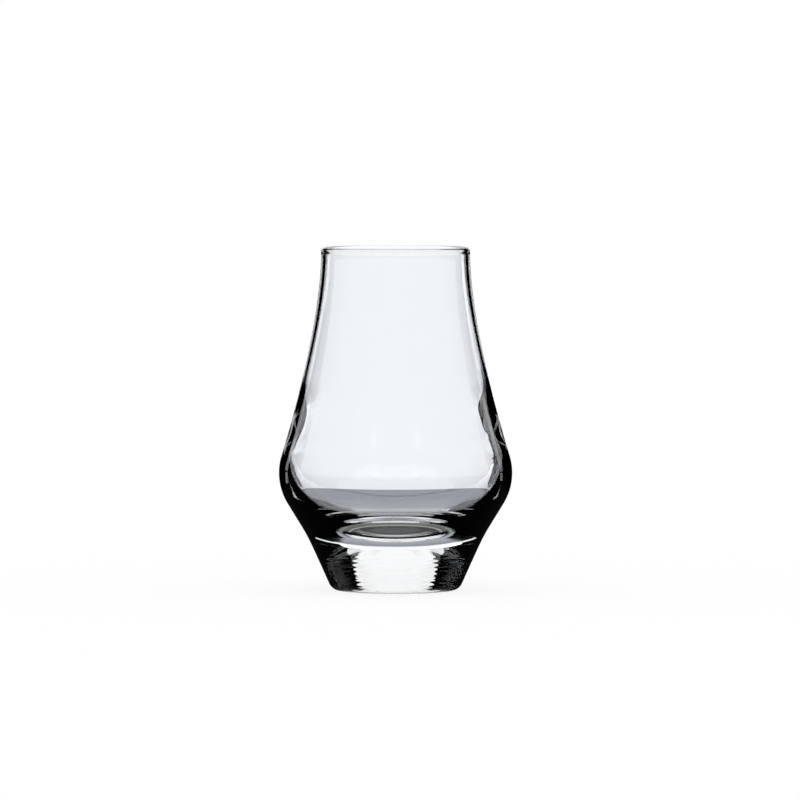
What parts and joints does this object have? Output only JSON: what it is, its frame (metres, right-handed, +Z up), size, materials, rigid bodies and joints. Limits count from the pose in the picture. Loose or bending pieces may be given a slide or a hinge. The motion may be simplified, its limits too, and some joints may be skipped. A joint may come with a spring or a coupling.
{
  "type": "spirit tasting glass",
  "caption": "Clear stemless tasting glass: narrow fire-polished mouth, wall widening to a low round belly, and a heavy solid base tapering to a flat foot.",
  "frame": {"origin": "centre of the flat underside that the glass stands on, on the axis of the glass", "axes": "+Z up along the axis of the glass, from the foot to the mouth; the glass is round, so +X and +Y are any two square directions across it"},
  "size_m": [0.066, 0.066, 0.097],
  "materials": {
    "clear_glass": "clear, fire-polished, very faintly blue"
  },
  "bodies": {
    "root": {"base": "clear_glass", "bowl": "clear_glass", "rim": "clear_glass"}
  },
  "joints": []
}
